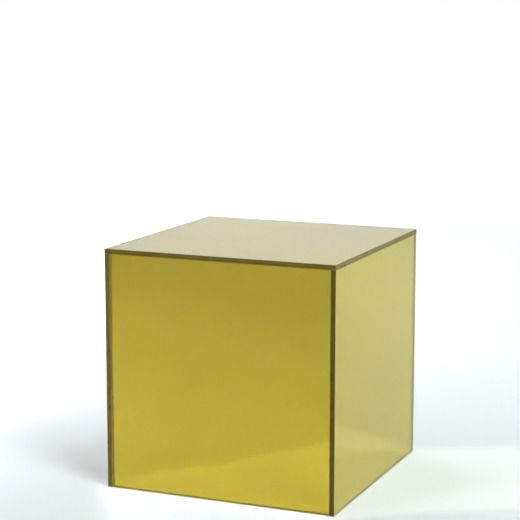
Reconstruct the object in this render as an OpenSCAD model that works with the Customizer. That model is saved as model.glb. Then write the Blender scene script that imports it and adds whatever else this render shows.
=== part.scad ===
// Five-sided display cube of gold mirror acrylic, open underneath.
// The origin is the centre of the base outline, +Z is up and -Y is the front.
// The lid lies over all four walls, the left and right walls run the full depth,
// and the front and rear walls stand between them. Every sheet is clear tinted
// acrylic outside, with its mirror film and protective paint on the inner face.

/* [Cube] */
// Outside width, depth and height of the cube
cube_size = 152.4; // [60:0.1:400]
// Whole thickness of a mirror sheet, acrylic and backing together
sheet_t = 2.8; // [2:0.1:6]
// Thickness of the mirror film with its protective paint
backing_t = 0.1; // [0.05:0.01:0.3]

/* [Cement] */
// Thickness of the cement film inside a butt joint
film_t = 0.1; // [0.05:0.01:0.3]
// How far a cement film stops short of the outside faces
film_recess = 0.2; // [0.1:0.05:0.5]
// Leg of the fillet bead along an inside corner
bead_leg = 1.6; // [1:0.1:5]
// Thickness left at the thin edges of a fillet bead
bead_tip = 0.06; // [0.02:0.01:0.2]
// Height above the base at which the corner cement starts
cement_start = 0.6; // [0:0.1:3]

/* [Colours] */
// Acrylic seen over its mirror film
acrylic_colour = "#bda94a"; // [#bda94a, #c9b27a, #c4c8cc]
// Protective paint on the back of the mirror film
paint_colour = "#73767a"; // [#73767a, #4b4d50, #a9a294]
// Dried solvent cement
cement_colour = "#d9cf9a"; // [#d9cf9a, #e8e8e0]

/* [Hidden] */

// Thickness of the clear acrylic alone
acrylic_t = sheet_t - backing_t;
// Half the outside width, and half the width of the hollow inside
outer = cube_size / 2;
inner = outer - sheet_t;
// Underside of the lid, and height of the four walls below their cement film
lid_z = cube_size - sheet_t;
wall_h = lid_z - film_t;
// Width of a wall that stands between the left and right walls
infill_w = 2 * (inner - film_t);
// Facets of the concave face of a bead
bead_fn = 48;
// Turns about +Z that carry a wall drawn at the front to each side
at_front = 0;
at_right = 90;
at_rear = 180;
at_left = 270;

// One layer of a wall: an upright slab whose outer face is `depth` inside the cube
module wall_layer(turn, width, depth, thickness) {
    rotate([0, 0, turn])
        translate([-width / 2, depth - outer, 0])
            cube([width, thickness, wall_h]);
}

// One layer of the lid, lying on height z
module lid_layer(z, thickness) {
    translate([-outer, -outer, z])
        cube([cube_size, cube_size, thickness]);
}

// Bead profile: fills the corner at the origin along +X and +Y with a concave face
module bead_profile() {
    difference() {
        square(bead_leg);
        translate([bead_leg + bead_tip, bead_leg + bead_tip])
            circle(r = bead_leg, $fn = bead_fn);
    }
}

// Cement of one upright corner: the film in the butt joint and the bead inside.
// It is drawn at the front left corner and mirrored to the others.
module corner_cement(flip_x, flip_y) {
    mirror([flip_x, 0, 0])
        mirror([0, flip_y, 0])
            translate([-inner, -inner, cement_start]) {
                translate([0, film_recess - sheet_t, 0])
                    cube([film_t, sheet_t - film_recess, wall_h - cement_start]);
                linear_extrude(lid_z - bead_leg - cement_start)
                    bead_profile();
            }
}

// Cement between the lid and one wall: the film on the wall's top edge, from the
// outside face inwards, and the bead under the lid, mitred where it meets the next
// wall's bead. It is drawn at the front.
module top_cement(turn, film_w) {
    rotate([0, 0, turn]) {
        translate([-film_w / 2, film_recess - outer, wall_h])
            cube([film_w, sheet_t - film_recess, film_t]);
        intersection() {
            translate([-inner, -inner, lid_z])
                rotate([0, 90, 0])
                    linear_extrude(2 * inner)
                        bead_profile();
            translate([0, 0, lid_z - bead_leg])
                linear_extrude(bead_leg)
                    polygon([
                        [-inner, -inner], [inner, -inner],
                        [inner - bead_leg, bead_leg - inner],
                        [bead_leg - inner, bead_leg - inner]
                    ]);
        }
    }
}

module top_panel() {
    color(acrylic_colour) lid_layer(lid_z + backing_t, acrylic_t);
}

module top_mirror_backing() {
    color(paint_colour) lid_layer(lid_z, backing_t);
}

module front_panel() {
    color(acrylic_colour) wall_layer(at_front, infill_w, 0, acrylic_t);
}

module front_mirror_backing() {
    color(paint_colour) wall_layer(at_front, infill_w, acrylic_t, backing_t);
}

module rear_panel() {
    color(acrylic_colour) wall_layer(at_rear, infill_w, 0, acrylic_t);
}

module rear_mirror_backing() {
    color(paint_colour) wall_layer(at_rear, infill_w, acrylic_t, backing_t);
}

module left_panel() {
    color(acrylic_colour) wall_layer(at_left, cube_size, 0, acrylic_t);
}

module left_mirror_backing() {
    color(paint_colour) wall_layer(at_left, cube_size, acrylic_t, backing_t);
}

module right_panel() {
    color(acrylic_colour) wall_layer(at_right, cube_size, 0, acrylic_t);
}

module right_mirror_backing() {
    color(paint_colour) wall_layer(at_right, cube_size, acrylic_t, backing_t);
}

module corner_cement_front_left() {
    color(cement_colour) corner_cement(0, 0);
}

module corner_cement_front_right() {
    color(cement_colour) corner_cement(1, 0);
}

module corner_cement_rear_left() {
    color(cement_colour) corner_cement(0, 1);
}

module corner_cement_rear_right() {
    color(cement_colour) corner_cement(1, 1);
}

// The films over the left and right walls run the full depth, short of the outside
// faces, and those over the front and rear walls fit between them.
module top_cement_left() {
    color(cement_colour) top_cement(at_left, cube_size - 2 * film_recess);
}

module top_cement_right() {
    color(cement_colour) top_cement(at_right, cube_size - 2 * film_recess);
}

module top_cement_front() {
    color(cement_colour) top_cement(at_front, 2 * inner);
}

module top_cement_rear() {
    color(cement_colour) top_cement(at_rear, 2 * inner);
}

top_panel();
front_panel();
rear_panel();
left_panel();
right_panel();
top_mirror_backing();
front_mirror_backing();
rear_mirror_backing();
left_mirror_backing();
right_mirror_backing();
corner_cement_front_left();
corner_cement_front_right();
corner_cement_rear_left();
corner_cement_rear_right();
top_cement_front();
top_cement_rear();
top_cement_left();
top_cement_right();
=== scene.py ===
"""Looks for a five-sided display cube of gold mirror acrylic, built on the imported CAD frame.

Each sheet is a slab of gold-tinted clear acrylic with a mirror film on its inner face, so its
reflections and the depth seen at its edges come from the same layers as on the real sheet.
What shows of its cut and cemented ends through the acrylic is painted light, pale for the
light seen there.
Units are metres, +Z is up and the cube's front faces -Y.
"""

import math

import bmesh
import bpy
from mathutils import Matrix, Vector, noise


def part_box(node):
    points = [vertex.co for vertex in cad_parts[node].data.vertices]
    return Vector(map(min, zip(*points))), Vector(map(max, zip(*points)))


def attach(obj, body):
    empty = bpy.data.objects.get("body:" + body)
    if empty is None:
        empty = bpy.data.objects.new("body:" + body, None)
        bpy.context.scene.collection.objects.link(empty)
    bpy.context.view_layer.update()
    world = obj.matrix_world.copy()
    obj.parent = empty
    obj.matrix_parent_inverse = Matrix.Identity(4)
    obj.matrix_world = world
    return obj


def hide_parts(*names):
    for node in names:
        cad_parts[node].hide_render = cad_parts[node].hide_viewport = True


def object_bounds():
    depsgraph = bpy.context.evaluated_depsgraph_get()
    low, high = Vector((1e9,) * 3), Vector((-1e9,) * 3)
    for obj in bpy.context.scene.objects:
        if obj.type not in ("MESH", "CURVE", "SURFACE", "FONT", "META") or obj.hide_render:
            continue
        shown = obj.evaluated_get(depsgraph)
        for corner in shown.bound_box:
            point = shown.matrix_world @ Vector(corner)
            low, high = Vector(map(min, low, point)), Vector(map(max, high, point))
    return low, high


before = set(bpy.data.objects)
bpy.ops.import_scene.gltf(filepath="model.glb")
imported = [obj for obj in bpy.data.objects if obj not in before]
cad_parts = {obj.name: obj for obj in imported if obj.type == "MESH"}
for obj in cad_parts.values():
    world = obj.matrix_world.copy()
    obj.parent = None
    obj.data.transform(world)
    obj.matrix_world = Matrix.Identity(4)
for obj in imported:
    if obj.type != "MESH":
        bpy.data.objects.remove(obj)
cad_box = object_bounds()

MM = 0.001
X, Y, Z = Vector((1, 0, 0)), Vector((0, 1, 0)), Vector((0, 0, 1))
CUBE_LOW, CUBE_HIGH = cad_box
CUBE_SIDE = CUBE_HIGH.x - CUBE_LOW.x

# Sheets
ACRYLIC_IOR = 1.49
GOLD_TINT = (0.69, 0.53, 0.018)  # what light keeps on its way in to the mirror film and out again
SKIN = 0.012 * MM  # keeps a sheet's faces just inside those of its CAD panel
ARRIS = 0.18 * MM  # mean width of the scraped chamfer round each sheet
ARRIS_SWING = 0.45  # how far its width swings either side of that, as a share
PAINT_EDGE = 0.05 * MM  # how deep cement soaks into the paint's edge
POLISHED_SHARE, FILM_SHARE = 1.0, 0.4  # how much of that width each face's arris has
POLISHED_SIDE, FILM_SIDE = 1, -1  # the two faces' places across a sheet, from its middle
GRID = 36  # mesh divisions along each side of a sheet
OUTWARD = {"top": Z, "front": -Y, "rear": Y, "left": -X, "right": X}
# How bright each sheet's four saw cuts are, in the order that sheet_rim() goes round them:
# painted light and shade, set end by end for how light falls on each, so the lid's front
# cut is darker than its right one and the base cuts are lightened against the shade at the foot
CUT_PAINTED_LIGHT = {
    "top": (0.58, 1.0, 0.6, 0.7),  # front, right, rear, left
    "front": (1.3, 0.6, 0.6, 0.6),  # base, right, top, left
    "rear": (1.3, 0.6, 0.6, 0.6),  # base, left, top, right
    "left": (1.3, 0.6, 0.6, 0.5),  # base, front, top, rear
    "right": (1.3, 0.55, 0.6, 0.37),  # base, rear, top, front
}

# Colours of the mirror film, and of its rim where the cement has dulled it
FILM_COLOUR = (0.87, 0.87, 0.86, 1)
DULL_FILM = (0.74, 0.7, 0.58, 1)
# Colours of a saw cut: beside the polished face, halfway and beside the film, then its
# cement stains, its scraped arris and its back as seen through the acrylic. That back is
# painted light: pale for the glow of light that comes in through the frosted cut.
CUT_OUTER = (0.14, 0.118, 0.032, 1)
CUT_MIDDLE = (0.2, 0.15, 0.025, 1)
CUT_INNER = (0.19, 0.133, 0.014, 1)
CUT_STAIN = (0.06, 0.045, 0.01, 1)
SCRAPED = (0.3, 0.25, 0.1, 1)
CUT_BACK_PAINTED_GLOW = (0.8, 0.78, 0.7, 1)
# Metres of the blade's pattern for each metre along a cut, for its depth and for its tone
CUT_GRAIN = (1.0, 0.00012, 0.01)
# Colours of a cemented end: its front, and the two that vary over its back, which are
# painted light: pale for the light seen in the joint, paler where the cement is dry
END_FRONT = (0.13, 0.1, 0.02, 1)
END_WET_PAINTED_LIGHT = (0.45, 0.4, 0.25, 1)
END_DRY_PAINTED_LIGHT = (0.9, 0.87, 0.75, 1)
# Colours of the backing paint
PAINT_DARK = (0.1, 0.096, 0.085, 1)
PAINT_PALE = (0.15, 0.144, 0.13, 1)
PAINT_NIB = (0.2, 0.2, 0.2, 1)
PAINT_SOAKED = (0.2, 0.155, 0.03, 1)
# Colours of the dried cement
CEMENT_DARK = (0.46, 0.4, 0.24, 1)
CEMENT_PALE = (0.66, 0.6, 0.42, 1)
CEMENT_BUBBLE = (0.8, 0.78, 0.68, 1)
# Colours of the studio paper
PAPER_DARK = (0.85, 0.85, 0.85, 1)
PAPER_PALE = (0.87, 0.87, 0.87, 1)

# Material slots of a sheet's mesh
ACRYLIC, FILM, CUT, CEMENTED = range(4)


# ---------------------------------------------------------------- node helpers

def new_material(name):
    """An empty node material: (material, its node tree, its Principled shader)."""
    mat = bpy.data.materials.new(name)
    mat.use_nodes = True
    return mat, mat.node_tree, mat.node_tree.nodes["Principled BSDF"]


def put(tree, socket, value):
    """Links a socket to another one, or gives it a plain value."""
    if isinstance(value, bpy.types.NodeSocket):
        tree.links.new(value, socket)
    else:
        socket.default_value = value


def add(tree, kind, inputs=None, **settings):
    """A new shader node. inputs maps an input's name or number to a value or a socket."""
    made = tree.nodes.new("ShaderNode" + kind)
    for name, value in settings.items():
        setattr(made, name, value)
    for key, value in (inputs or {}).items():
        put(tree, made.inputs[key], value)
    return made


def maths(tree, operation, a, b=0.0):
    """What a Math node makes of a and b."""
    return add(tree, "Math", {0: a, 1: b}, operation=operation).outputs[0]


def farther(tree, a, b):
    """The greater of two distances from the middle, whichever side each is on."""
    return maths(tree, "MAXIMUM", maths(tree, "ABSOLUTE", a), maths(tree, "ABSOLUTE", b))


def scaled(tree, colour, factor):
    """A colour times a number."""
    return add(tree, "VectorMath", {0: colour, "Scale": factor}, operation="SCALE").outputs[0]


def mixed(tree, factor, a, b):
    """Colour a, going over to colour b as factor goes from 0 to 1."""
    mix = add(tree, "Mix", {0: factor}, data_type="RGBA")
    put(tree, mix.inputs[6], a)
    put(tree, mix.inputs[7], b)
    return mix.outputs[2]


def eased(tree, value, low, high, to_low=0.0, to_high=1.0):
    """value taken smoothly from the range low..high to to_low..to_high."""
    inputs = {
        "Value": value, "From Min": low, "From Max": high, "To Min": to_low, "To Max": to_high,
    }
    return add(tree, "MapRange", inputs, interpolation_type="SMOOTHSTEP").outputs[0]


def cloud(tree, place, size, detail=2.0):
    """Noise from 0 to 1 whose blobs are about size metres across."""
    inputs = {"Vector": place, "Scale": 1 / size, "Detail": detail}
    return add(tree, "TexNoise", inputs).outputs["Fac"]


def bumped(tree, height, depth):
    """Shading normal of a surface raised by up to depth metres where height is 1."""
    return add(tree, "Bump", {"Height": height, "Distance": depth}).outputs[0]


def place_in_object(tree):
    """The shaded point in the object's own frame, in metres."""
    return add(tree, "TexCoord").outputs["Object"]


def attribute(tree, name):
    """A vector that the mesh carries at each corner of its faces."""
    return add(tree, "Attribute", attribute_name=name).outputs["Vector"]


def parts_of(tree, vector):
    """The three numbers of a vector."""
    return add(tree, "SeparateXYZ", {0: vector}).outputs


# ---------------------------------------------------------------- materials

def sheet_waves(tree, place):
    """Normal of a face that is a little wavy, as cast acrylic is."""
    return bumped(tree, cloud(tree, place, 55 * MM, 1.0), 0.06 * MM)


def hairlines(tree, span, turn, pitch):
    """1 on straight scratches across a face, pitch apart, and 0 between.

    A different turn puts them in different places. They run the same way at any turn.
    """
    inputs = {"Vector": span, "Rotation": (0, 0, turn), "Scale": (1.2, 1 / pitch, 1)}
    stretched = add(tree, "Mapping", inputs).outputs[0]
    lines = add(tree, "TexNoise", {"Vector": stretched, "Scale": 1.0, "Detail": 2.0}).outputs["Fac"]
    return eased(tree, lines, 0.68, 0.74)


def acrylic_material():
    """Polished gold-tinted acrylic, with faint handling haze and hairline scratches."""
    mat, tree, shader = new_material("gold_acrylic")
    place = place_in_object(tree)
    span = attribute(tree, "span")
    tone = eased(tree, cloud(tree, place, 70 * MM), 0.3, 0.7, 0.985, 1.015)
    haze = eased(tree, cloud(tree, place, 28 * MM, 4.0), 0.52, 0.74, 0.0, 0.05)
    close = hairlines(tree, span, 0.5, 0.006)
    wide = hairlines(tree, span, -1.1, 0.009)
    scratches = maths(tree, "MULTIPLY", maths(tree, "MAXIMUM", close, wide), 0.05)
    put(tree, shader.inputs["Base Color"], scaled(tree, GOLD_TINT, tone))
    put(tree, shader.inputs["Roughness"], maths(tree, "ADD", haze, scratches))
    put(tree, shader.inputs["Normal"], sheet_waves(tree, place))
    shader.inputs["IOR"].default_value = ACRYLIC_IOR
    shader.inputs["Transmission Weight"].default_value = 1.0
    return mat


def film_material():
    """Vacuum-deposited mirror film, dulled unevenly along its rim by the cement."""
    mat, tree, shader = new_material("mirror_film")
    place = place_in_object(tree)
    x, y, _ = parts_of(tree, attribute(tree, "span"))
    rim = farther(tree, x, y)
    uneven = eased(tree, cloud(tree, place, 6 * MM, 3.0), 0.3, 0.7, -0.004, 0.004)
    dull = eased(tree, maths(tree, "ADD", rim, uneven), 0.992, 1.0)
    colour = mixed(tree, dull, FILM_COLOUR, DULL_FILM)
    put(tree, shader.inputs["Base Color"], colour)
    put(tree, shader.inputs["Roughness"], maths(tree, "MULTIPLY", dull, 0.2))
    put(tree, shader.inputs["Normal"], sheet_waves(tree, place))
    shader.inputs["Metallic"].default_value = 1.0
    return mat


def cut_material():
    """Saw-cut acrylic edge: dark olive brown, marked across by the blade, stained by cement.

    The "cut" attribute holds the distance along the edge, the share of the way from the
    polished face (0) to the film (1), which is -1 on the arris beside the polished face, and
    the tone of that end, which is painted light and shade: how bright that end is made for
    how light falls on it.
    """
    mat, tree, shader = new_material("cut_edge")
    cut = attribute(tree, "cut")
    _, depth, tone = parts_of(tree, cut)
    bands = add(tree, "ValToRGB", {"Fac": depth})
    stops = bands.color_ramp.elements
    stops[0].color = CUT_OUTER
    stops[1].color = CUT_INNER
    stops[1].position = 0.95
    middle = stops.new(0.45)
    middle.color = CUT_MIDDLE
    grain = {0: cut, 1: CUT_GRAIN}
    across = add(tree, "VectorMath", grain, operation="MULTIPLY").outputs[0]
    blade = cloud(tree, across, 0.45 * MM, 2.0)
    patches = cloud(tree, across, 9 * MM, 3.0)
    near_film = eased(tree, depth, 0.3, 1.0)
    stained = maths(tree, "MULTIPLY", eased(tree, patches, 0.52, 0.62), near_film)
    arris = maths(tree, "LESS_THAN", depth, -0.5)
    colour = scaled(tree, bands.outputs["Color"], eased(tree, blade, 0.3, 0.7, 0.86, 1.14))
    # Painted light and shade: each end is made lighter or darker by its tone, for how light falls
    # on it.
    colour = scaled(tree, colour, tone)
    colour = mixed(tree, maths(tree, "MULTIPLY", stained, 0.5), colour, CUT_STAIN)
    colour = mixed(tree, maths(tree, "MULTIPLY", arris, 0.2), colour, SCRAPED)
    # Painted light: seen from the inside, through the acrylic, the cut is painted pale for the
    # light that comes in through it.
    inside = add(tree, "NewGeometry").outputs["Backfacing"]
    colour = mixed(tree, inside, colour, CUT_BACK_PAINTED_GLOW)
    put(tree, shader.inputs["Base Color"], colour)
    rough = eased(tree, blade, 0.3, 0.7, 0.34, 0.52)
    wet = maths(tree, "MULTIPLY", stained, 0.2)
    put(tree, shader.inputs["Roughness"], maths(tree, "SUBTRACT", rough, wet))
    put(tree, shader.inputs["Normal"], bumped(tree, blade, 0.03 * MM))
    shader.inputs["IOR"].default_value = ACRYLIC_IOR
    shader.inputs["Specular IOR Level"].default_value = 0.3
    shader.inputs["Specular Tint"].default_value = (1.0, 0.7, 0.15, 1)
    return mat


def cemented_material():
    """A cut end cemented to the next sheet, seen only through its own acrylic: wet and patchy, its
    back painted pale for the light seen in the joint.
    """
    mat, tree, shader = new_material("cemented_end")
    cut = attribute(tree, "cut")
    patches = cloud(tree, cut, 14 * MM, 3.0)
    # Painted light: the back's pale colours stand for light seen in the joint; the patches follow
    # wet and dry cement.
    back = mixed(tree, eased(tree, patches, 0.36, 0.52), END_WET_PAINTED_LIGHT, END_DRY_PAINTED_LIGHT)
    inside = add(tree, "NewGeometry").outputs["Backfacing"]
    put(tree, shader.inputs["Base Color"], mixed(tree, inside, END_FRONT, back))
    put(tree, shader.inputs["Roughness"], eased(tree, patches, 0.3, 0.6, 0.5, 0.2))
    put(tree, shader.inputs["Normal"], bumped(tree, cloud(tree, cut, 1.5 * MM), 0.05 * MM))
    return mat


def paint_material():
    """Grey protective paint sprayed over the film: orange peel, faint mottling, dust nibs.

    The thin edge that shows between two sheets is soaked with cement, which turns it amber.
    """
    mat, tree, shader = new_material("backing_paint")
    place = place_in_object(tree)
    x, y, _ = parts_of(tree, place)
    out = farther(tree, x, y)
    soaked = maths(tree, "GREATER_THAN", out, CUBE_HIGH.x - PAINT_EDGE)
    peel = cloud(tree, place, 1.4 * MM, 2.0)
    mottle = cloud(tree, place, 24 * MM, 4.0)
    nibs = add(tree, "TexVoronoi", {"Vector": place, "Scale": 1 / (7 * MM)}).outputs["Distance"]
    nib = eased(tree, nibs, 0.05, 0.02)
    colour = mixed(tree, eased(tree, mottle, 0.3, 0.7), PAINT_DARK, PAINT_PALE)
    colour = mixed(tree, nib, colour, PAINT_NIB)
    put(tree, shader.inputs["Base Color"], mixed(tree, soaked, colour, PAINT_SOAKED))
    put(tree, shader.inputs["Roughness"], eased(tree, mottle, 0.3, 0.7, 0.45, 0.62))
    raised = maths(tree, "ADD", peel, nib)
    put(tree, shader.inputs["Normal"], bumped(tree, raised, 0.05 * MM))
    shader.inputs["Specular IOR Level"].default_value = 0.25
    return mat


def cement_material():
    """Dried solvent cement: glossy, slightly yellow, with small bubbles."""
    mat, tree, shader = new_material("acrylic_cement")
    place = place_in_object(tree)
    cells = add(tree, "TexVoronoi", {"Vector": place, "Scale": 1 / (1.1 * MM)}).outputs["Distance"]
    bubble = eased(tree, cells, 0.22, 0.12)
    drawn = cloud(tree, place, 4 * MM, 3.0)
    colour = mixed(tree, eased(tree, drawn, 0.3, 0.7), CEMENT_DARK, CEMENT_PALE)
    put(tree, shader.inputs["Base Color"], mixed(tree, bubble, colour, CEMENT_BUBBLE))
    put(tree, shader.inputs["Roughness"], eased(tree, drawn, 0.3, 0.7, 0.1, 0.28))
    put(tree, shader.inputs["Normal"], bumped(tree, maths(tree, "ADD", drawn, bubble), 0.08 * MM))
    shader.inputs["IOR"].default_value = ACRYLIC_IOR
    return mat


def floor_material():
    """Matt white studio paper with a fine tooth."""
    mat, tree, shader = new_material("studio_floor")
    place = place_in_object(tree)
    tooth = cloud(tree, place, 2 * MM, 3.0)
    shade = cloud(tree, place, 0.5, 2.0)
    colour = mixed(tree, eased(tree, shade, 0.3, 0.7), PAPER_DARK, PAPER_PALE)
    put(tree, shader.inputs["Base Color"], colour)
    put(tree, shader.inputs["Roughness"], eased(tree, tooth, 0.3, 0.7, 0.85, 0.95))
    put(tree, shader.inputs["Normal"], bumped(tree, tooth, 0.05 * MM))
    shader.inputs["Specular IOR Level"].default_value = 0.1
    return mat


# ---------------------------------------------------------------- mesh helpers

def linked(name, bm, materials):
    """A new object from a bmesh, in the scene, with its materials."""
    mesh = bpy.data.meshes.new(name)
    bm.to_mesh(mesh)
    bm.free()
    for mat in materials:
        mesh.materials.append(mat)
    obj = bpy.data.objects.new(name, mesh)
    bpy.context.scene.collection.objects.link(obj)
    return obj


def part(obj, node):
    """Makes obj a piece of the cube that stands for a CAD node."""
    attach(obj, "root")
    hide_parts(node)


def wander(place, size):
    """Smooth noise from -1 to 1 that changes over about size metres."""
    return noise.noise(place / size)


# ---------------------------------------------------------------- sheets

def sheet_axes(outward):
    """Two directions along a sheet, so that the first cross the second is outward."""
    if outward == Z:
        return X, Y
    return Z.cross(outward), Z


class Slab:
    """The block that one sheet fills, just inside its CAD panel, with a grid laid over it."""

    def __init__(self, side):
        """Takes the block's middle, directions and half sizes from the CAD panel."""
        self.outward = OUTWARD[side]
        self.across, self.up = sheet_axes(self.outward)
        low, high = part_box(side + "_panel")
        self.centre, self.half = (low + high) / 2, (high - low) / 2
        inner = self.half - SKIN * Vector((1, 1, 1))
        self.reach = [abs(inner.dot(axis)) for axis in (self.across, self.up, self.outward)]
        self.ends = (-self.up, self.across, self.up, -self.across)

    def at(self, i, j, inset, level):
        """Grid point i, j of a layer at level (FILM_SIDE to POLISHED_SIDE)."""
        u = (2 * i / GRID - 1) * self.reach[0]
        v = (2 * j / GRID - 1) * self.reach[1]
        u = max(-self.reach[0] + inset, min(self.reach[0] - inset, u))
        v = max(-self.reach[1] + inset, min(self.reach[1] - inset, v))
        return self.centre + self.across * u + self.up * v + self.outward * level * self.reach[2]

    def scrape(self, i, j, share):
        """Width of the scraped arris beside a grid point on the rim."""
        return ARRIS * share * (1 + ARRIS_SWING * wander(self.at(i, j, 0, POLISHED_SIDE), 5 * MM))

    def is_exposed(self, end):
        """Whether an end lies in the outside of the cube, and so isn't cemented."""
        facing = self.ends[end]
        limit = abs((CUBE_HIGH - CUBE_LOW).dot(facing)) / 2
        middle = (CUBE_LOW + CUBE_HIGH) / 2
        outside = (self.centre - middle).dot(facing) + abs(self.half.dot(facing))
        return outside > limit - ARRIS


def layer(bm, slab, level, share):
    """Grid of vertices of one face, drawn in from the outline by the arris."""
    rows = []
    for j in range(GRID + 1):
        row = []
        for i in range(GRID + 1):
            rim = i in (0, GRID) or j in (0, GRID)
            inset = slab.scrape(i, j, share) if rim else 0
            row.append(bm.verts.new(slab.at(i, j, inset, level)))
        rows.append(row)
    return rows


def sheet_face(bm, rows, flip, index, span):
    """Fills a grid of vertices with quads, and writes their place on the face to span."""
    for j in range(GRID):
        for i in range(GRID):
            corners = [(i, j), (i + 1, j), (i + 1, j + 1), (i, j + 1)]
            if flip:
                corners.reverse()
            face = bm.faces.new([rows[b][a] for a, b in corners])
            face.material_index = index
            for loop, (a, b) in zip(face.loops, corners):
                loop[span] = (2 * a / GRID - 1, 2 * b / GRID - 1, 0)


def rim_steps():
    """(column, row, end) of each grid point round a face, anticlockwise from the low corner."""
    ring = [(i, 0, 0) for i in range(GRID)]
    ring += [(GRID, i, 1) for i in range(GRID)]
    ring += [(GRID - i, GRID, 2) for i in range(GRID)]
    ring += [(0, GRID - i, 3) for i in range(GRID)]
    return ring


def cut_lines(bm, slab, ring):
    """The two lines of vertices round a sheet between which its saw cuts lie."""
    upper, lower = [], []
    for i, j, _ in ring:
        drop = slab.outward * slab.scrape(i, j, POLISHED_SHARE)
        rise = slab.outward * slab.scrape(i, j, FILM_SHARE)
        upper.append(bm.verts.new(slab.at(i, j, 0, POLISHED_SIDE) - drop))
        lower.append(bm.verts.new(slab.at(i, j, 0, FILM_SIDE) + rise))
    return upper, lower


def sheet_rim(bm, slab, polished, film, cut, painted_light):
    """Joins the two faces round the four ends: an arris, the saw cut and another arris."""
    ring = rim_steps()
    upper, lower = cut_lines(bm, slab, ring)
    along = 0.0
    for k, (i, j, end) in enumerate(ring):
        n = (k + 1) % len(ring)
        i2, j2, _ = ring[n]
        step = (slab.at(i2, j2, 0, POLISHED_SIDE) - slab.at(i, j, 0, POLISHED_SIDE)).length
        strips = (
            (polished[j][i], polished[j2][i2], upper[k], upper[n], -1.0, -1.0),
            (upper[k], upper[n], lower[k], lower[n], 0.0, 1.0),
            (lower[k], lower[n], film[j][i], film[j2][i2], 1.0, 1.0),
        )
        for a, b, c, d, first, last in strips:
            face = bm.faces.new((a, c, d, b))
            face.material_index = CUT if slab.is_exposed(end) else CEMENTED
            depths = (first, last, last, first)
            places = (along, along, along + step, along + step)
            for loop, depth, place in zip(face.loops, depths, places):
                # The third number is the end's tone: painted light and shade for how light falls on
                # that end.
                loop[cut] = (place, depth, painted_light[end])
        along += step


def sheet(side, materials):
    """One acrylic sheet in the place of its CAD panel, with unevenly scraped edges."""
    slab = Slab(side)
    bm = bmesh.new()
    span = bm.loops.layers.float_vector.new("span")
    cut = bm.loops.layers.float_vector.new("cut")
    polished = layer(bm, slab, POLISHED_SIDE, POLISHED_SHARE)
    film = layer(bm, slab, FILM_SIDE, FILM_SHARE)
    sheet_face(bm, polished, False, ACRYLIC, span)
    sheet_face(bm, film, True, FILM, span)
    sheet_rim(bm, slab, polished, film, cut, CUT_PAINTED_LIGHT[side])
    obj = linked(side + "_sheet", bm, materials)
    part(obj, side + "_panel")


# ---------------------------------------------------------------- cement

INNER = -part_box("left_mirror_backing")[1].x  # half the width of the hollow inside
LID_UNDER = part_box("top_mirror_backing")[0].z
WALL_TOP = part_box("front_panel")[1].z
FILM_T = LID_UNDER - WALL_TOP
CORNER_LOW, CORNER_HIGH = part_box("corner_cement_front_left")
BEAD_LEG = CORNER_HIGH.x + INNER
FILM_REACH = -INNER - CORNER_LOW.y  # how far a film goes out from the inside corner
BEAD_TIP = 0.05 * MM
BEAD_MEAN = 0.88  # a bead's mean leg, as a share of the CAD bead's
BEAD_SWING = 0.11  # how far its leg swings either side of that
FILM_RAG = 0.15 * MM  # mean unevenness of a film's outer edge
CEMENT_GAP = 0.01 * MM  # between the cement and the sheets it holds
STATIONS = 60
ARC_STEPS = 8


def bead_ring(leg):
    """Points of a fillet with a hollow face, in a corner whose walls lie along both axes."""
    radius = leg - BEAD_TIP
    points = [(CEMENT_GAP, CEMENT_GAP), (leg, CEMENT_GAP)]
    for i in range(ARC_STEPS + 1):
        a = math.pi / 2 * i / ARC_STEPS
        points.append((leg - radius * math.sin(a), leg - radius * math.cos(a)))
    points.append((CEMENT_GAP, leg))
    return points


def film_ring(reach):
    """Points of the film, which goes back from the corner by reach."""
    low, high = CEMENT_GAP, FILM_T - CEMENT_GAP
    return [(low, BEAD_TIP), (low, -reach), (high, -reach), (high, BEAD_TIP)]


def sweep(bm, rings):
    """Skins a row of closed rings of points, with a cap on each end."""
    rows = [[bm.verts.new(p) for p in ring] for ring in rings]
    for a, b in zip(rows, rows[1:]):
        for i in range(len(a)):
            n = (i + 1) % len(a)
            bm.faces.new((a[i], a[n], b[n], b[i]))
    bm.faces.new(rows[0][::-1])
    bm.faces.new(rows[-1])


def cement(node, corner, run, first, second, bead, film, mitred, material):
    """The cement of one joint: a fillet bead along run, and the film that goes in behind it.

    first and second point away from the corner along its two walls. The film lies against
    the wall that second runs along, and goes back from the corner. bead and film are the
    start and the end of each along run. A mitred bead meets its neighbours at 45 degrees.
    """
    bm = bmesh.new()
    beads, films = [], []
    for k in range(STATIONS + 1):
        share = k / STATIONS
        spot = corner + run * (bead[0] + (bead[1] - bead[0]) * share)
        leg = BEAD_LEG * (BEAD_MEAN + BEAD_SWING * wander(spot, 7 * MM))
        lean = 0.0
        if mitred and k == 0:
            lean = 1.0
        if mitred and k == STATIONS:
            lean = -1.0
        beads.append([spot + first * p + second * q + run * lean * q for p, q in bead_ring(leg)])
        spot = corner + run * (film[0] + (film[1] - film[0]) * share)
        reach = FILM_REACH - FILM_RAG * (1 + wander(spot, 6 * MM))
        films.append([spot + first * p + second * q for p, q in film_ring(reach)])
    sweep(bm, beads)
    sweep(bm, films)
    bmesh.ops.recalc_face_normals(bm, faces=bm.faces)
    for face in bm.faces:
        face.smooth = True
    obj = linked(node + "_run", bm, (material,))
    obj.data.set_sharp_from_angle(angle=math.radians(50))
    part(obj, node)


def upright_cement(material):
    """The cement of the four upright corners."""
    start = CORNER_LOW.z
    bead = (start, LID_UNDER - BEAD_LEG)
    for front_rear, y in (("front", -Y), ("rear", Y)):
        for left_right, x in (("left", -X), ("right", X)):
            node = "corner_cement_" + front_rear + "_" + left_right
            corner = (x + y) * INNER
            cement(node, corner, Z, -x, -y, bead, (start, WALL_TOP - CEMENT_GAP), False, material)


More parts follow.
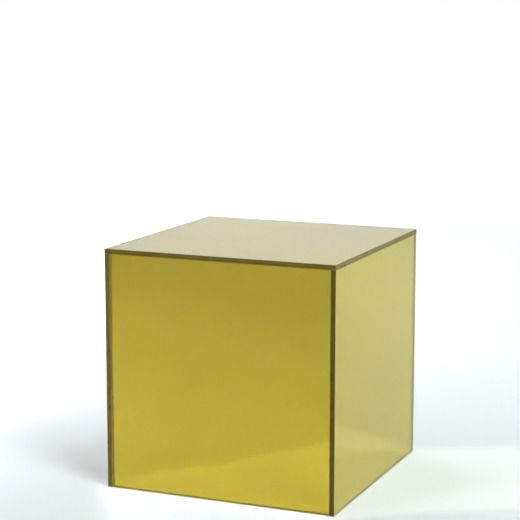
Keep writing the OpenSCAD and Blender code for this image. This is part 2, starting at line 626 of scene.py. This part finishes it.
def lid_cement(material):
    """The cement between the lid and each wall."""
    long_reach = INNER + FILM_REACH
    for side in ("front", "rear", "left", "right"):
        outward = OUTWARD[side]
        run = X if side in ("front", "rear") else Y
        reach = INNER if side in ("front", "rear") else long_reach
        corner = outward * INNER + Z * LID_UNDER
        bead, film = (-INNER, INNER), (-reach, reach)
        cement("top_cement_" + side, corner, run, -Z, -outward, bead, film, True, material)


materials = (acrylic_material(), film_material(), cut_material(), cemented_material())
for side in OUTWARD:
    sheet(side, materials)
glue = cement_material()
upright_cement(glue)
lid_cement(glue)
paint = paint_material()
for name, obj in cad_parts.items():
    if name.endswith("_backing"):
        obj.data.materials.clear()
        obj.data.materials.append(paint)

# ---------------------------------------------------------------- stage

FLOOR_RADIUS = 1.7
FLOOR_RINGS = (0.0, 0.4, 0.9, FLOOR_RADIUS)  # radii of the floor's own rings of faces
SWEEP_RADIUS = 0.7
SWEEP_STEPS = 16
STAGE_TOP = 1.5


def stage_profile():
    """Radius and height along the studio floor, its round sweep and its wall."""
    points = [(radius, 0.0) for radius in FLOOR_RINGS]
    for i in range(1, SWEEP_STEPS + 1):
        a = math.pi / 2 * i / SWEEP_STEPS
        radius = FLOOR_RADIUS + SWEEP_RADIUS * math.sin(a)
        points.append((radius, SWEEP_RADIUS * (1 - math.cos(a))))
    points.append((FLOOR_RADIUS + SWEEP_RADIUS, STAGE_TOP))
    return points


def studio_floor():
    """A round floor that sweeps up to a wall on every side."""
    bm = bmesh.new()
    profile = [bm.verts.new((r, 0, z)) for r, z in stage_profile()]
    edges = [bm.edges.new(pair) for pair in zip(profile, profile[1:])]
    bmesh.ops.spin(bm, geom=profile + edges, cent=(0, 0, 0), axis=(0, 0, 1), angle=2 * math.pi,
                   steps=96, use_merge=True)
    bmesh.ops.remove_doubles(bm, verts=bm.verts, dist=1e-5)
    bmesh.ops.recalc_face_normals(bm, faces=bm.faces)
    if min(bm.faces, key=lambda f: f.calc_center_median().length).normal.z < 0:
        bmesh.ops.reverse_faces(bm, faces=bm.faces)
    for face in bm.faces:
        face.smooth = True
    linked("studio_floor", bm, (floor_material(),))


# ---------------------------------------------------------------- lights

FRONT_LEFT = Vector((CUBE_LOW.x, CUBE_LOW.y, 0))
FRONT_RIGHT = Vector((CUBE_HIGH.x, CUBE_LOW.y, 0))
REAR_RIGHT = Vector((CUBE_HIGH.x, CUBE_HIGH.y, 0))
BEAM_HEIGHT = 1.3
BEAM_SPREAD = 1.0  # degrees
FOOT_WIDTH = 0.012
# The ways, seen from above, in which the walls throw the light of the two key lights
LEFT_KEY_OFF_FRONT = (0.53, -0.85)
RIGHT_KEY_OFF_FRONT = (-0.88, -0.47)
RIGHT_KEY_OFF_RIGHT = (0.86, 0.51)
# Tints that several lights share
COOL = (0.87, 1.0, 1.0)
LILAC = (0.94, 0.93, 1.0)
WORLD_STRENGTH = 0.24


def lamp(name, place, turn, size, power, spread, tint):
    """A rectangular light at place, turned by the Euler angles turn."""
    light = bpy.data.lights.new(name, "AREA")
    light.shape = "RECTANGLE"
    light.size, light.size_y = size
    light.energy = power
    light.color = tint
    light.spread = math.radians(spread)
    obj = bpy.data.objects.new(name, light)
    bpy.context.scene.collection.objects.link(obj)
    obj.location = place
    obj.rotation_euler = turn


def softbox(name, place, target, size, power, spread, tint):
    """A soft light at place, aimed at target."""
    aim = Vector(target) - Vector(place)
    turn = aim.to_track_quat("-Z", "Y").to_euler()
    lamp(name, place, turn, size, power, spread, tint)


def beam(name, centre, along, size, power, tint):
    """A patch of light round centre, from straight above, with its length towards along.

    The beam is narrow, so the cube's sides get none of it.
    """
    turn = (0, 0, math.atan2(along.y, along.x))
    lamp(name, centre + Z * BEAM_HEIGHT, turn, size, power, BEAM_SPREAD, tint)


def thrown(name, corner, far_corner, heading, reach, power, tint):
    """The light that a mirror wall throws on the floor in front of it.

    corner and far_corner are the wall's two lower corners. The patch lies between the lines
    that run from them towards heading, and goes as far as reach from corner. Any of it that
    falls on the lid is sent straight back up.
    """
    along = Vector((*heading, 0)).normalized()
    wall = far_corner - corner
    start = min(0, wall.dot(along))  # below 0 where far_corner lies behind corner
    aside = wall - along * wall.dot(along)
    centre = corner + along * (start + reach) / 2 + aside / 2
    beam(name, centre, along, (reach - start, aside.length), power, tint)


def foot_strips(powers, tint):
    """A bright strip along the foot of each wall: front, right, rear, left."""
    for quarter, power in enumerate(powers):
        turned = Matrix.Rotation(math.radians(90) * quarter, 3, "Z")
        centre = turned @ (-Y * (CUBE_SIDE + FOOT_WIDTH) / 2)
        beam(f"foot_{quarter}", centre, turned @ X, (CUBE_SIDE, FOOT_WIDTH), power, tint)


studio_floor()
softbox("key_left", (-0.72, -1.15, 0.7), (0, 0, 0.05), (0.3, 0.3), 0.55, 70, (1.0, 0.87, 0.98))
softbox("key_right", (1.2, -0.72, 1.2), (0, 0, 0.05), (0.8, 0.8), 4.0, 80, COOL)
softbox("left_pool", (-0.75, 0.55, 1.5), (-0.6, 0.5, 0), (0.6, 0.6), 3.1, 60, COOL)
softbox("left_narrow", (-0.75, 0.55, 1.5), (-0.7, 0.4, 0), (0.6, 0.6), 2.6, 42, COOL)
softbox("left_side", (-0.75, 0.0, 1.5), (-0.75, 0.0, 0), (0.5, 0.9), 1.9, 42, (0.9, 0.84, 1.0))
softbox("rear_pool", (0.7, 0.95, 1.5), (0.45, 0.6, 0), (0.6, 0.6), 1.5, 60, COOL)
softbox("floor_rear", (-0.65, 1.65, 1.5), (-0.65, 1.65, 0), (1.2, 0.6), 3.2, 60, COOL)
softbox("backdrop_rear", (0, 1.0, 1.5), (0, 2.2, 0.3), (2.0, 0.4), 8.5, 130, (0.87, 0.92, 1.0))
softbox("backdrop_front", (0, -1.3, 1.6), (0, -2.2, 0.2), (2.0, 0.4), 13.5, 110, LILAC)
softbox("backdrop_left", (-1.3, 0, 1.6), (-2.2, 0, 0.2), (2.0, 0.4), 15, 110, LILAC)
softbox("backdrop_right", (1.3, 0, 1.6), (2.2, 0, 0.2), (2.0, 0.4), 13.5, 110, (0.94, 1.0, 1.0))
thrown("front_near_left", FRONT_LEFT, FRONT_RIGHT, LEFT_KEY_OFF_FRONT,
       0.3, 0.025, (0.87, 0.87, 1.0))
thrown("front_near_right", FRONT_RIGHT, FRONT_LEFT, RIGHT_KEY_OFF_FRONT,
       0.14, 0.0055, (0.87, 0.93, 1.0))
thrown("right_near_rear", REAR_RIGHT, FRONT_RIGHT, RIGHT_KEY_OFF_RIGHT,
       0.3, 0.027, (0.87, 1.0, 0.76))
foot_strips((0.0009, 0.0004, 0.0006, 0.0006), (0.94, 0.99, 1.0))

world = bpy.data.worlds.new("studio")
bpy.context.scene.world = world
world.use_nodes = True
background = world.node_tree.nodes["Background"]
background.inputs["Color"].default_value = (*LILAC, 1)
background.inputs["Strength"].default_value = WORLD_STRENGTH

# ---------------------------------------------------------------- camera

CAMERA_PLACE = (0.4117, -0.9737, 0.3202)
CAMERA_HEADING = Vector((-0.3872, 0.9063, -0.1695))
SENSOR_WIDTH = 36  # mm, as is the lens
LENS = 115.7

camera = bpy.data.cameras.new("camera")
camera.sensor_width = SENSOR_WIDTH
camera.lens = LENS
camera_obj = bpy.data.objects.new("camera", camera)
bpy.context.scene.collection.objects.link(camera_obj)
camera_obj.location = CAMERA_PLACE
camera_obj.rotation_euler = CAMERA_HEADING.to_track_quat("-Z", "Y").to_euler()
bpy.context.scene.camera = camera_obj
bpy.context.scene.view_settings.view_transform = "Standard"
